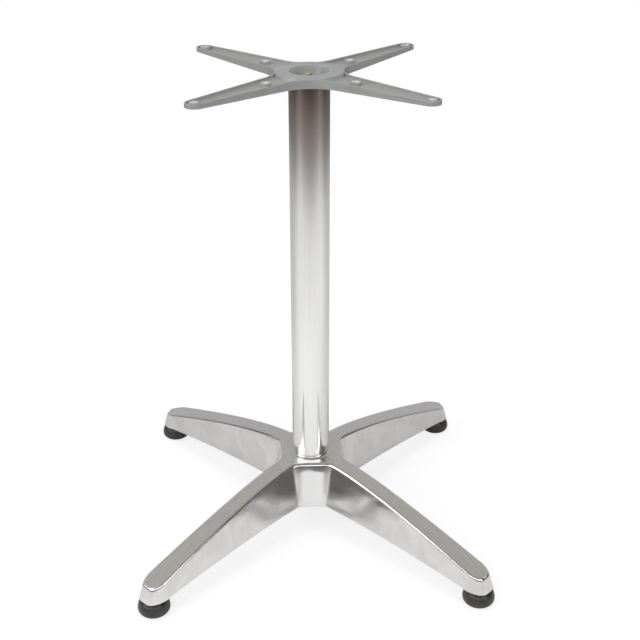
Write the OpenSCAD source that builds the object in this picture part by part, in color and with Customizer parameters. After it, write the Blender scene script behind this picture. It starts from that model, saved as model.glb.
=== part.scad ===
// Pedestal table base: a cast cross foot on four levelling glides, a round tube column
// and a cast top spider, pulled together by one long tie rod.
// The origin is on the floor, on the axis of the column. The legs and arms lie on the diagonals.

/* [Overall] */
// Height from the floor to the underside of the table top
overall_h = 720; // [600:5:1100]
// Outer diameter of the column
column_d = 57; // [50:0.5:64]
// Wall of the column's tube
column_wall = 2; // [1.2:0.1:3.5]

/* [Base casting] */
// Distance from the axis to the end of a leg's top face
leg_reach = 342; // [290:0.5:420]
// Height of the hub's top where the column enters
hub_top_h = 116.5; // [105:0.5:140]
// Distance from the axis to the crown, the point that the top line bends towards
crown_r = 101; // [90:1:180]
// Height of that crown
crown_h = 127; // [100:0.5:135]
// Height of the top face at the end of a leg
leg_end_h = 48.6; // [46:0.2:60]
// Distance from the axis to the wall between two legs
leg_gap_r = 46.4; // [42:0.1:60]
// Radius of the fillet between that wall and a leg
leg_fillet_r = 24; // [20:0.5:36]
// Width of a leg's top at its waist
leg_waist_w = 28.6; // [22:0.2:36]
// Width of a leg's top near its end
leg_end_w = 37.6; // [30:0.2:44]
// Length of a leg's rounded end
leg_round_l = 22; // [10:0.5:30]
// Width of the flat in the middle of that end
leg_flat_w = 11; // [4:0.5:16]
// Height of the lower edge between the legs
skirt_h = 47; // [36:0.5:60]
// Distance from the axis to the belly, the point that the lower edge bends towards
belly_r = 155; // [130:1:270]
// Height of that belly
belly_h = 49; // [30:0.5:60]
// Height of the lower edge at the end of a leg
leg_low_h = 26.4; // [22:0.2:28]
// Depth of the lip that the leg's end stands below its side walls
lip_depth = 1.4; // [0.4:0.1:3]
// Radius of the polished edge along the top faces
edge_r = 2.4; // [1:0.1:4]
// Thickness of the casting's top
cast_top = 4.5; // [4.2:0.1:8]
// Thickness of the casting's walls
cast_wall = 3.6; // [2.5:0.1:6]
// Draft of the side walls, in degrees
side_draft = 11; // [5:0.5:12]
// Draft of the leg's end wall, in degrees
end_draft = 19; // [10:0.5:22]

/* [Column seat] */
// Depth of the socket that the column stands in
socket_depth = 6; // [2:0.5:12]
// Radius of the cove between the hub and the column
cove_r = 4; // [1:0.5:8]
// Diameter of the boss under the hub
hub_boss_d = 44; // [34:1:52]
// Depth of that boss below the socket's floor
hub_boss_depth = 18; // [10:1:30]

/* [Glides] */
// Distance from the end of a leg's top face back to its glide
glide_inset = 11; // [10.5:0.5:20]
// Diameter of a glide's pad
pad_d = 46.8; // [36:0.2:60]
// Diameter of the pad's foot, where it meets the floor
pad_foot_d = 27; // [16:1:34]
// Height at which the pad is widest
pad_belly_h = 9; // [6:0.5:12]
// Diameter of the flat on top of the pad
pad_top_d = 24; // [18:1:30]
// Diameter of a glide's stud
stud_d = 8; // [6:0.5:10]
// Length of stud inside the pad
stud_grip = 12; // [6:1:14]
// Travel that the levelling glide has
glide_travel = 8; // [2:1:10]
// Length of stud that is still in the leg at the end of that travel
stud_hold = 10; // [6:1:11]
// Diameter of the boss that takes the stud
glide_boss_d = 20; // [16:1:24]

/* [Top spider] */
// Distance from the axis to the end of an arm
arm_reach = 219.5; // [160:0.5:320]
// Radius of an arm's end
arm_end_r = 12.3; // [11:0.1:18]
// Width of an arm at its root
arm_root_w = 42.4; // [34:0.2:54]
// Diameter of the raised hub
spider_hub_d = 95; // [84:0.5:130]
// Thickness of the hub
spider_hub_t = 13; // [10:0.5:20]
// Height that the hub stands above the arms
hub_step = 0.8; // [0.2:0.1:2]
// Thickness of an arm at its end
arm_end_t = 6; // [5:0.2:9]
// Width of the rim round the arms
rim_w = 2.4; // [1.5:0.1:4]
// Depth of the channel inside the rim
channel_depth = 4.2; // [2:0.1:4.8]
// Width of the sloping foot round the hub
hub_foot_w = 2.5; // [0.5:0.1:5]
// Diameter of the bowl's mouth in the hub
bowl_d = 54.6; // [40:0.2:70]
// Depth of the bowl
bowl_depth = 15.5; // [12:0.5:20]
// Diameter of the bowl's floor
bowl_floor_d = 40; // [28:0.5:44]
// Thickness of the bowl's floor
bowl_floor_t = 5; // [3:0.5:10]
// Distance from the axis to the inner screw holes
inner_hole_r = 83; // [70:1:120]
// Diameter of the screw holes
screw_hole_d = 6; // [4:0.2:8]
// Diameter of the bosses round the screw holes
screw_boss_d = 15; // [11:0.5:18]
// Diameter of the countersinks
countersink_d = 11; // [8.5:0.5:12]
// Depth of the countersinks
countersink_depth = 2.2; // [0.5:0.1:3]

/* [Tie rod] */
// Diameter of the tie rod
rod_d = 10; // [8:0.5:12]
// Width across the flats of its nuts
nut_w = 17; // [14:0.5:20]
// Thickness of its nuts
nut_t = 8; // [6:0.5:10]
// Outer diameter of its washers
washer_d = 24; // [20:0.5:27]
// Thickness of its washers
washer_t = 2; // [1:0.1:3]
// Length of rod that shows past each nut
rod_show = 2.1; // [1:0.1:4]
// Chamfer at the ends of the rod and studs
rod_chamfer = 0.8; // [0.3:0.1:1.2]

/* [Hidden] */
// Clearances: a part held still in its seat, a turning thread, and a moving part off its stop
seat_gap = 0.1;
thread_gap = 0.05;
stop_gap = 0.3;
// One overrun for all cuts
over = 1;
// Facets of round parts, and steps along the lofted casting
round_fn = 96;
small_fn = 48;
panel_steps = 2;
fillet_steps = 6;
side_steps = 14;
round_steps = 5;
cross_steps = 4;
arc_steps = 12;
nut_sides = 6;

corner_turn = 90;
half_turn = 45;
leg_turns = [45, 135, 225, 315];
back_right = leg_turns[0];
back_left = leg_turns[1];
front_left = leg_turns[2];
front_right = leg_turns[3];

// Levels of the column and the tie rod, from the floor up
column_r = column_d / 2;
socket_z = hub_top_h - socket_depth;
hub_boss_z = socket_z - hub_boss_depth;
spider_under_z = overall_h - spider_hub_t;
bowl_floor_z = overall_h - bowl_depth;
bowl_under_z = bowl_floor_z - bowl_floor_t;
arm_top_z = overall_h - hub_step;
rod_low_z = hub_boss_z - washer_t - nut_t - rod_show;
rod_high_z = bowl_floor_z + washer_t + nut_t + rod_show;

// A curve through a and c that leaves and arrives towards b, and its share at a given reach
function bend(a, b, c, t) = (1 - t) * (1 - t) * a + 2 * t * (1 - t) * b + t * t * c;
function bend_share(a, b, c, x) =
  2 * (x - a) / (2 * (b - a) + sqrt(4 * (b - a) * (b - a) + 4 * (a - 2 * b + c) * (x - a)));

// Top line and lower edge of a leg, by the distance from the axis
function leg_top(r) =
  bend(hub_top_h, crown_h, leg_end_h, bend_share(column_r, crown_r, leg_reach, max(r, column_r)));
function leg_low(r) =
  bend(skirt_h, belly_h, leg_low_h, bend_share(leg_gap_r, belly_r, leg_reach, max(r, leg_gap_r)));

// Plan of a leg, along it (s) and across it (w): half of the flat wall between two legs,
// a fillet that turns from it into the leg's side, and a side that widens towards the end
gap_s = leg_gap_r * cos(half_turn);
fillet_w = leg_waist_w / 2 + leg_fillet_r;
fillet_s = 2 * gap_s + leg_fillet_r / cos(half_turn) - fillet_w;
panel_end_s = fillet_s - leg_fillet_r * cos(half_turn);
panel_end_w = fillet_w - leg_fillet_r * sin(half_turn);
round_s = leg_reach - leg_round_l;
function spread(s) = (s - fillet_s) / (leg_reach - fillet_s);
function leg_w(s) = (leg_waist_w + (leg_end_w - leg_waist_w) * spread(s) * spread(s)) / 2;
function leg_w_slope(s) = (leg_end_w - leg_waist_w) * spread(s) / (leg_reach - fillet_s);

// Each station is [along, across, normal along, normal across]
lip_run = lip_depth;
panel_stations = [
  for (k = [0 : panel_steps - 1])
    let (share = k / panel_steps)
    [gap_s + (panel_end_s - gap_s) * share, gap_s + (panel_end_w - gap_s) * share,
     cos(half_turn), sin(half_turn)]
];
fillet_stations = [
  for (k = [0 : fillet_steps - 1])
    let (a = half_turn * (1 + k / fillet_steps))
    [fillet_s - leg_fillet_r * cos(a), fillet_w - leg_fillet_r * sin(a), cos(a), sin(a)]
];
side_stations = [
  for (k = [0 : side_steps])
    let (s = fillet_s + (round_s - lip_run - fillet_s) * k / side_steps)
    let (m = leg_w_slope(s), n = sqrt(1 + m * m))
    [s, leg_w(s), -m / n, 1 / n]
];
corner_w = leg_w(round_s) - leg_flat_w / 2;
round_stations = [
  for (k = [0 : round_steps])
    let (a = k * corner_turn / round_steps)
    let (n = sqrt(pow(corner_w * sin(a), 2) + pow(leg_round_l * cos(a), 2)))
    [round_s + leg_round_l * sin(a), leg_flat_w / 2 + corner_w * cos(a),
     corner_w * sin(a) / n, leg_round_l * cos(a) / n]
];
half_stations = concat(panel_stations, fillet_stations, side_stations, round_stations);
last_station = len(half_stations) - 1;
first_round = len(half_stations) - len(round_stations);
function mirrored(q) = [q[0], -q[1], q[2], -q[3]];
// Once round a leg against the clock: out along its right side, over the end, back along its left
leg_stations = concat(
  [for (q = half_stations) mirrored(q)],
  [for (j = [1 : cross_steps - 1]) [leg_reach, leg_flat_w * (j / cross_steps - 1 / 2), 1, 0]],
  [for (i = [last_station : -1 : 1]) half_stations[i]]
);
leg_count = len(leg_stations);
ring_count = leg_count * len(leg_turns);
function in_lip(p) = p >= first_round && p <= leg_count - first_round;

// Rings of the shell, from the inner line of the top edge, over the edge, down the wall
// and up inside it. Each gives the step out along the normal and the height.
function draft_of(q) =
  q[0] < round_s ? side_draft : side_draft + (end_draft - side_draft) * q[2] * q[2];
function wall_step(q, drop) = tan(draft_of(q)) * drop;
function edge_ring(q, a) =
  [-edge_r * (1 - sin(a)), leg_top(norm([q[0], q[1]])) - edge_r * (1 - cos(a))];
function low_z(p) = leg_low(norm([leg_stations[p][0], leg_stations[p][1]])) - (in_lip(p) ? lip_depth : 0);
function low_ring(p, inset) =
  let (q = leg_stations[p], drop = leg_top(norm([q[0], q[1]])) - edge_r - low_z(p))
  [wall_step(q, drop) - inset, low_z(p)];
function roof_ring(q) =
  [wall_step(q, cast_top - edge_r) - cast_wall, leg_top(norm([q[0], q[1]])) - cast_top];
edge_angles = [0, 30, 60, 90];
low_outer_ring = len(edge_angles);
roof_ring_no = low_outer_ring + 2;
function ring_offset(ring, p) =
  ring < low_outer_ring ? edge_ring(leg_stations[p], edge_angles[ring])
  : ring == low_outer_ring ? low_ring(p, 0)
  : ring < roof_ring_no ? low_ring(p, cast_wall)
  : roof_ring(leg_stations[p]);

function turned(x, y, z, a) = [x * cos(a) - y * sin(a), x * sin(a) + y * cos(a), z];
function ring_point(ring, p, a) =
  let (q = leg_stations[p], o = ring_offset(ring, p))
  turned(q[0] + o[0] * q[2], q[1] + o[0] * q[3], o[1], a);
// Points across a leg, between its two edge lines, on the top face or under the roof
function cross_point(ring, depth, i, j, a) =
  let (q = half_stations[i], o = ring_offset(ring, i)[0])
  let (s = q[0] + o * q[2], w = (q[1] + o * q[3]) * (2 * j / cross_steps - 1))
  turned(s, w, leg_top(norm([s, w])) - depth, a);

function cross_points(ring, depth) = [
  for (a = leg_turns) for (i = [0 : last_station - 1]) for (j = [1 : cross_steps - 1])
    cross_point(ring, depth, i, j, a)
];
shell_points = concat(
  [for (ring = [0 : roof_ring_no]) for (a = leg_turns) for (p = [0 : leg_count - 1]) ring_point(ring, p, a)],
  cross_points(0, 0),
  cross_points(roof_ring_no, cast_top),
  [[0, 0, hub_top_h], [0, 0, hub_top_h - cast_top]]
);

cross_count = last_station * (cross_steps - 1);
top_start = (roof_ring_no + 1) * ring_count;
roof_start = top_start + cross_count * len(leg_turns);
top_centre = roof_start + cross_count * len(leg_turns);
roof_centre = top_centre + 1;
function on_ring(ring, leg, p) = ring * ring_count + (leg * leg_count + p) % ring_count;
function across(ring, start, leg, i, j) =
  j == 0 ? on_ring(ring, leg, i)
  : j == cross_steps ? on_ring(ring, leg, leg_count - i)
  : i == last_station ? on_ring(ring, leg, last_station + j)
  : start + leg * cross_count + i * (cross_steps - 1) + j - 1;
function flipped(face) = [for (n = [len(face) - 1 : -1 : 0]) face[n]];
function sheet_faces(ring, start, centre) = [
  for (leg = [0 : len(leg_turns) - 1]) for (j = [0 : cross_steps - 1]) each concat(
    [[centre, across(ring, start, leg, 0, j + 1), across(ring, start, leg, 0, j)]],
    [for (i = [0 : last_station - 1]) [
      across(ring, start, leg, i, j), across(ring, start, leg, i, j + 1),
      across(ring, start, leg, i + 1, j + 1), across(ring, start, leg, i + 1, j)
    ]]
  )
];
shell_faces = concat(
  [for (ring = [0 : roof_ring_no - 1]) for (p = [0 : ring_count - 1]) [
    ring * ring_count + p, ring * ring_count + (p + 1) % ring_count,
    (ring + 1) * ring_count + (p + 1) % ring_count, (ring + 1) * ring_count + p
  ]],
  sheet_faces(0, top_start, top_centre),
  [for (face = sheet_faces(roof_ring_no, roof_start, roof_centre)) flipped(face)]
);

// Place of a glide, and its heights: the underside of the leg's end, and the roof over its boss
glide_r = leg_reach - glide_inset;
glide_seat_z = leg_low(leg_reach) - lip_depth;
glide_roof_z = leg_top(glide_r) - cast_top;
stud_l = glide_travel + stud_hold;
pad_h = glide_seat_z - stop_gap;

module at_leg(turn, r) {
  rotate(turn) translate([r, 0, 0]) children();
}

// The shell of the cross foot, open below
module cross_shell() {
  polyhedron(points = shell_points, faces = shell_faces, convexity = 6);
}

// Ring with a cove that meets the column
module column_cove() {
  rotate_extrude($fn = round_fn) polygon(concat(
    [[column_r - over, socket_z], [column_r + cove_r, socket_z]],
    [for (k = [0 : arc_steps])
      let (a = k * corner_turn / arc_steps)
      [column_r + cove_r - cove_r * sin(a), hub_top_h + cove_r - cove_r * cos(a)]],
    [[column_r - over, hub_top_h + cove_r]]
  ));
}

module base_casting() {
  color("#bebdb9") difference() {
    union() {
      cross_shell();
      column_cove();
      // Cup round the column's socket, and the boss that the tie rod pulls up against
      translate([0, 0, socket_z - cast_top])
        cylinder(h = socket_depth + cast_top / 2, r = column_r + cast_wall, $fn = round_fn);
      translate([0, 0, hub_boss_z])
        cylinder(h = socket_z - hub_boss_z, d = hub_boss_d, $fn = round_fn);
      // Bosses for the glides' studs
      for (turn = leg_turns) at_leg(turn, glide_r) translate([0, 0, glide_seat_z])
        cylinder(h = glide_roof_z - glide_seat_z + cast_top / 2, d = glide_boss_d, $fn = small_fn);
    }
    translate([0, 0, socket_z])
      cylinder(h = socket_depth + cove_r + over, r = column_r + seat_gap, $fn = round_fn);
    translate([0, 0, hub_boss_z - over])
      cylinder(h = hub_boss_depth + 2 * over, d = rod_d + 2 * seat_gap, $fn = small_fn);
    for (turn = leg_turns) at_leg(turn, glide_r) translate([0, 0, glide_seat_z - over])
      cylinder(h = stud_l + 2 * over, d = stud_d + 2 * thread_gap, $fn = small_fn);
  }
}

module column_tube() {
  color("#c8c8ca") translate([0, 0, socket_z]) difference() {
    cylinder(h = spider_under_z - socket_z, d = column_d, $fn = round_fn);
    translate([0, 0, -over])
      cylinder(h = spider_under_z - socket_z + 2 * over, d = column_d - 2 * column_wall, $fn = round_fn);
  }
}

// Plan of the spider. An arm's edge runs straight from the root to its round end,
// and an arc joins it to the next arm's edge, touching the hub.
hub_r = spider_hub_d / 2;
arm_end_s = arm_reach - arm_end_r;
root_w = arm_root_w / 2;
arm_taper = acos(arm_end_r / norm([arm_end_s - hub_r, root_w])) - atan2(arm_end_s - hub_r, root_w);
taper_share = cos(half_turn) * (sin(arm_taper) + cos(arm_taper));
root_step = hub_r * sin(arm_taper) + root_w * cos(arm_taper);
gap_arc_r = (hub_r * taper_share - root_step) / (1 - taper_share);
gap_arc_s = (hub_r + gap_arc_r) * cos(half_turn);

// The plan drawn in by an even width, all round
function arm_outline(inset) = concat(
  [for (k = [0 : arc_steps])
    let (a = (corner_turn - arm_taper) * (2 * k / arc_steps - 1))
    [arm_end_s + (arm_end_r - inset) * cos(a), (arm_end_r - inset) * sin(a)]],
  [for (k = [0 : arc_steps])
    let (a = 3 * corner_turn - arm_taper - (corner_turn - 2 * arm_taper) * k / arc_steps)
    [gap_arc_s + (gap_arc_r + inset) * cos(a), gap_arc_s + (gap_arc_r + inset) * sin(a)]]
);
function spider_outline(inset) = [
  for (turn = leg_turns) for (q = arm_outline(inset))
    [q[0] * cos(turn) - q[1] * sin(turn), q[0] * sin(turn) + q[1] * cos(turn)]
];

// Bowl that hides the nut, and the tie rod's hole in its floor
module bowl_cut() {
  translate([0, 0, bowl_floor_z])
    cylinder(h = bowl_depth, d1 = bowl_floor_d, d2 = bowl_d, $fn = round_fn);
  translate([0, 0, overall_h])
    cylinder(h = over, d = bowl_d, $fn = round_fn);
  translate([0, 0, bowl_under_z - over])
    cylinder(h = bowl_floor_t + 2 * over, d = rod_d + 2 * seat_gap, $fn = small_fn);
}

// Channels of the arms, round the hub's sloping foot and the bosses of the screw holes
module arm_channels() {
  floor_z = arm_top_z - channel_depth;
  difference() {
    translate([0, 0, floor_z])
      linear_extrude(channel_depth + over) polygon(spider_outline(rim_w));
    translate([0, 0, floor_z - over])
      cylinder(h = over, r = hub_r + hub_foot_w, $fn = round_fn);
    translate([0, 0, floor_z])
      cylinder(h = channel_depth, r1 = hub_r + hub_foot_w, r2 = hub_r, $fn = round_fn);
    translate([0, 0, arm_top_z])
      cylinder(h = 2 * over, r = hub_r, $fn = round_fn);
    for (turn = leg_turns) for (r = [inner_hole_r, arm_end_s])
      at_leg(turn, r) translate([0, 0, floor_z - over])
        cylinder(h = channel_depth + over, d = screw_boss_d, $fn = small_fn);
  }
}

module top_spider() {
  color("#a5a8a6") difference() {
    union() {
      intersection() {
        translate([0, 0, spider_under_z])
          linear_extrude(arm_top_z - spider_under_z) polygon(spider_outline(0));
        // Side view: flat on top, thinning from the hub to the ends of the arms
        rotate_extrude($fn = round_fn) polygon([
          [0, spider_under_z], [hub_r, spider_under_z], [arm_reach, arm_top_z - arm_end_t],
          [arm_reach + over, arm_top_z - arm_end_t], [arm_reach + over, arm_top_z + over],
          [0, arm_top_z + over]
        ]);
      }
      translate([0, 0, spider_under_z])
        cylinder(h = spider_hub_t, r = hub_r, $fn = round_fn);
      // Spigot under the bowl, which centres the column
      translate([0, 0, bowl_under_z])
        cylinder(h = spider_under_z - bowl_under_z, r = column_r - column_wall - seat_gap, $fn = round_fn);
    }
    arm_channels();
    bowl_cut();
    for (turn = leg_turns) for (r = [inner_hole_r, arm_end_s])
      at_leg(turn, r) {
        translate([0, 0, spider_under_z - over])
          cylinder(h = spider_hub_t + 2 * over, d = screw_hole_d, $fn = small_fn);
        translate([0, 0, arm_top_z - countersink_depth])
          cylinder(h = countersink_depth, d1 = screw_hole_d, d2 = countersink_d, $fn = small_fn);
      }
  }
}

module tie_rod() {
  color("#cdbf7e") rotate_extrude($fn = small_fn) polygon([
    [0, rod_low_z], [rod_d / 2 - rod_chamfer, rod_low_z], [rod_d / 2, rod_low_z + rod_chamfer],
    [rod_d / 2, rod_high_z - rod_chamfer], [rod_d / 2 - rod_chamfer, rod_high_z], [0, rod_high_z]
  ]);
}

module washer(z) {
  color("#c9c9c6") translate([0, 0, z]) difference() {
    cylinder(h = washer_t, d = washer_d, $fn = small_fn);
    translate([0, 0, -over])
      cylinder(h = washer_t + 2 * over, d = rod_d + 2 * seat_gap, $fn = small_fn);
  }
}

// Hexagon nut with its corners turned off at both faces
module nut(z) {
  corner_r = nut_w / 2 / cos(2 * corner_turn / nut_sides);
  corner_off = corner_r - nut_w / 2;
  color("#c9c9c6") translate([0, 0, z]) difference() {
    intersection() {
      cylinder(h = nut_t, r = corner_r, $fn = nut_sides);
      rotate_extrude($fn = small_fn) polygon([
        [0, 0], [nut_w / 2, 0], [corner_r, corner_off / 2],
        [corner_r, nut_t - corner_off / 2], [nut_w / 2, nut_t], [0, nut_t]
      ]);
    }
    translate([0, 0, -over])
      cylinder(h = nut_t + 2 * over, d = rod_d + 2 * thread_gap, $fn = small_fn);
  }
}

module top_washer() { washer(bowl_floor_z); }
module top_nut() { nut(bowl_floor_z + washer_t); }
module bottom_washer() { washer(hub_boss_z - washer_t); }
module bottom_nut() { nut(hub_boss_z - washer_t - nut_t); }

// Round pad: a bun that rests on a smaller foot, with a hole for its stud
module glide_pad(turn) {
  low_r = (pad_d - pad_foot_d) / 2;
  high_r = (pad_d - pad_top_d) / 2;
  high_h = pad_h - pad_belly_h;
  color("#3a3a38") at_leg(turn, glide_r) difference() {
    rotate_extrude($fn = round_fn) polygon(concat(
      [[0, 0]],
      [for (k = [0 : arc_steps])
        let (a = k * corner_turn / arc_steps)
        [pad_foot_d / 2 + low_r * sin(a), pad_belly_h - pad_belly_h * cos(a)]],
      [for (k = [1 : arc_steps])
        let (a = k * corner_turn / arc_steps)
        [pad_top_d / 2 + high_r * cos(a), pad_belly_h + high_h * sin(a)]],
      [[0, pad_h]]
    ));
    translate([0, 0, pad_h - stud_grip])
      cylinder(h = stud_grip + over, d = stud_d, $fn = small_fn);
  }
}

module glide_stud(turn) {
  low_z = pad_h - stud_grip;
  high_z = glide_seat_z + stud_l;
  color("#b9b9b5") at_leg(turn, glide_r) rotate_extrude($fn = small_fn) polygon([
    [0, low_z], [stud_d / 2, low_z], [stud_d / 2, high_z - rod_chamfer],
    [stud_d / 2 - rod_chamfer, high_z], [0, high_z]
  ]);
}

base_casting();
column_tube();
top_spider();
tie_rod();
top_washer();
top_nut();
bottom_washer();
bottom_nut();
glide_pad(front_left);  // glide_pad_front_left
glide_pad(front_right);  // glide_pad_front_right
glide_pad(back_left);  // glide_pad_back_left
glide_pad(back_right);  // glide_pad_back_right
glide_stud(front_left);  // glide_stud_front_left
glide_stud(front_right);  // glide_stud_front_right
glide_stud(back_left);  // glide_stud_back_left
glide_stud(back_right);  // glide_stud_back_right
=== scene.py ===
# %% [markdown]
# # A pedestal table base in polished cast aluminium
# This lesson dresses a table base in Blender: a cross-shaped foot that was cast and then
# polished by hand, a mirror-bright tube, and a grey painted spider that screws to a table top.
# The frame comes first. It holds every piece at its real size, so nothing here moves it.

# %% Load the frame
import math

import bmesh
import bpy
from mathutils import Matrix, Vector


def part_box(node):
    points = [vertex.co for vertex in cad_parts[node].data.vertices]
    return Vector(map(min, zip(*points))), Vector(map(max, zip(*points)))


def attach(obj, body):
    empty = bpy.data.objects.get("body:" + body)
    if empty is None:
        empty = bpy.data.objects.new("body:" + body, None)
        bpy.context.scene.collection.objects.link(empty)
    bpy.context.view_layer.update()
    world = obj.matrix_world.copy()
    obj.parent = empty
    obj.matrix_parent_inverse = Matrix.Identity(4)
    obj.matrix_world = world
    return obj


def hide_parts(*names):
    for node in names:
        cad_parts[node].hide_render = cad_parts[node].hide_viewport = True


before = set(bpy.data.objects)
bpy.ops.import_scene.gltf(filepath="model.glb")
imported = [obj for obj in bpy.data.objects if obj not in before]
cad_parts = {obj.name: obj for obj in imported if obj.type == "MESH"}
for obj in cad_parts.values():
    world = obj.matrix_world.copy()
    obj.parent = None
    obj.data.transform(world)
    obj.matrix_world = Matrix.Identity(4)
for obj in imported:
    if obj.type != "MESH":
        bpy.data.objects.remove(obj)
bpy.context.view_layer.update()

# %% [markdown]
# ## Sizes
# The finer pieces below follow the same curves as the frame, so they need the same few sizes.
# What can be measured on the frame is measured: heights and outer sizes come from its boxes.

# %% Measure the frame
MM = 0.001
foot_low, foot_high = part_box("base_casting")
tube_low, tube_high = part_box("column_tube")
spider_low, spider_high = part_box("top_spider")
rod_low, rod_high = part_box("tie_rod")

COLUMN_R = (tube_high.x - tube_low.x) / 2
COLUMN_WALL = 2 * MM
SOCKET_Z = tube_low.z
OVERALL_H = spider_high.z
SPIDER_UNDER_Z = tube_high.z
SEAT_GAP = 0.1 * MM
LEG_TURNS = [math.radians(turn) for turn in (45, 135, 225, 315)]
CORNERS = {"back_right": 0, "back_left": 1, "front_left": 2, "front_right": 3}
HALF_TURN = math.pi / 4
print(f"column radius {COLUMN_R / MM:.2f} mm, height {OVERALL_H / MM:.1f} mm")
for title, low, high in (("foot", foot_low, foot_high), ("spider", spider_low, spider_high)):
    print(f"{title}: {(high.x - low.x) / MM:.1f} mm wide")

# %% [markdown]
# ## Turning a profile
# Washers, pads, tubes and bosses are all turned shapes: one profile, swept round an axis.
# A Spin operator or a Screw modifier would do it too. Plain rings of points keep every
# quad even, and the same small helper then serves all the round pieces.


# %% Helpers that make meshes
WELD_DISTANCE = 1e-7
CAST_CREASE = 35
CHAMFER = 0.4 * MM


def make_object(name, points, faces, smooth_angle=40):
    mesh = bpy.data.meshes.new(name)
    mesh.from_pydata(points, [], faces)
    mesh.validate()
    tidy = bmesh.new()
    tidy.from_mesh(mesh)
    bmesh.ops.remove_doubles(tidy, verts=tidy.verts, dist=WELD_DISTANCE)
    bmesh.ops.recalc_face_normals(tidy, faces=tidy.faces)
    tidy.to_mesh(mesh)
    tidy.free()
    piece = bpy.data.objects.new(name, mesh)
    bpy.context.scene.collection.objects.link(piece)
    mesh.shade_smooth()
    mesh.set_sharp_from_angle(angle=math.radians(smooth_angle))
    return piece


def turned_points(profile, centre, segments, start=0.0):
    points = []
    for r, z in profile:
        for k in range(segments):
            a = start + 2 * math.pi * k / segments
            points.append((centre[0] + r * math.cos(a), centre[1] + r * math.sin(a), z))
    return points


def ring_faces(ring_total, segments, closed):
    faces = []
    for ring in range(ring_total if closed else ring_total - 1):
        here = ring * segments
        there = (ring + 1) % ring_total * segments
        for k in range(segments):
            after = (k + 1) % segments
            faces.append((here + k, here + after, there + after, there + k))
    return faces


def turn_piece(name, profile, centre=(0, 0), segments=96, smooth_angle=40):
    """A closed solid of revolution. A profile that starts on the axis also ends on it."""
    points = turned_points(profile, centre, segments)
    on_axis = profile[0][0] == 0
    return make_object(name, points, ring_faces(len(profile), segments, not on_axis), smooth_angle)


def quarter_turn(steps):
    """Even angles from nought to a right angle, both ends included."""
    return [k * math.pi / 2 / steps for k in range(steps + 1)]


def polar(r, turn):
    return r * math.cos(turn), r * math.sin(turn)


def triangle_total(piece):
    return sum(len(face.vertices) - 2 for face in piece.data.polygons)


print("mesh helpers ready")

# %% [markdown]
# ## The side view of a leg
# Seen from the side, a leg is two curves: the crown runs out and down to the leg's end, and the
# lower edge runs under it. Each is one bend led by a single point, as a pattern maker would
# strike it with a batten. Kept as two functions, they give the height of any point of the foot.

# %% Curves of the foot
LEG_REACH = 342 * MM
HUB_TOP_H = 116.5 * MM
CROWN_R = 101 * MM
CROWN_H = 127 * MM
LEG_END_H = 48.6 * MM
LEG_GAP_R = 46.4 * MM
LEG_FILLET_R = 24 * MM
LEG_WAIST_W = 28.6 * MM
LEG_END_W = 37.6 * MM
LEG_ROUND_L = 22 * MM
LEG_FLAT_W = 11 * MM
SKIRT_H = 47 * MM
BELLY_R = 155 * MM
BELLY_H = 49 * MM
LEG_LOW_H = 26.4 * MM
LIP_DEPTH = 1.4 * MM


def bend(a, b, c, t):
    return (1 - t) ** 2 * a + 2 * t * (1 - t) * b + t * t * c


def bend_share(a, b, c, x):
    """How far along the curve through a and c, led by b, the reach x lies."""
    root = math.sqrt(4 * (b - a) ** 2 + 4 * (a - 2 * b + c) * (x - a))
    return 2 * (x - a) / (2 * (b - a) + root)


def leg_top(r):
    share = bend_share(COLUMN_R, CROWN_R, LEG_REACH, max(r, COLUMN_R))
    return bend(HUB_TOP_H, CROWN_H, LEG_END_H, share)


def leg_low(r):
    share = bend_share(LEG_GAP_R, BELLY_R, LEG_REACH, max(r, LEG_GAP_R))
    return bend(SKIRT_H, BELLY_H, LEG_LOW_H, share)


print(f"top of a leg at half its reach: {leg_top(LEG_REACH / 2) / MM:.1f} mm")

# %% [markdown]
# ## The plan of the cross
# Both castings are crosses with four equal arms on the diagonals. Half of one arm is drawn as
# stations: a place along the arm, a place across it, and the direction that faces outwards.
# The rest of the cross is that half, mirrored and turned. A boolean of boxes could never give
# the fillet at the hub, where the sides of two legs run into one wall.

# %% Stations of a leg
GAP_S = LEG_GAP_R * math.cos(HALF_TURN)
FILLET_W = LEG_WAIST_W / 2 + LEG_FILLET_R
FILLET_S = 2 * GAP_S + LEG_FILLET_R / math.cos(HALF_TURN) - FILLET_W
ROUND_S = LEG_REACH - LEG_ROUND_L
PANEL_STEPS = 6
FILLET_STEPS = 12
SIDE_STEPS = 40
ROUND_STEPS = 12
ACROSS = 16


def leg_share(s):
    """Nought where the fillet ends, one at the leg's end."""
    return (s - FILLET_S) / (LEG_REACH - FILLET_S)


def leg_width(s):
    return (LEG_WAIST_W + (LEG_END_W - LEG_WAIST_W) * leg_share(s) ** 2) / 2


def arc_station(centre, radius, angle):
    """A station on an arc. A radius below nought gives a hollow arc, open to the outside."""
    along, over = math.cos(angle), math.sin(angle)
    return centre[0] + radius * along, centre[1] + radius * over, along, over


def line_stations(start, end, facing, shares):
    """Stations on a straight edge, at these shares of its length."""
    run = end[0] - start[0], end[1] - start[1]
    return [(start[0] + run[0] * t, start[1] + run[1] * t, *facing) for t in shares]


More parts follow.
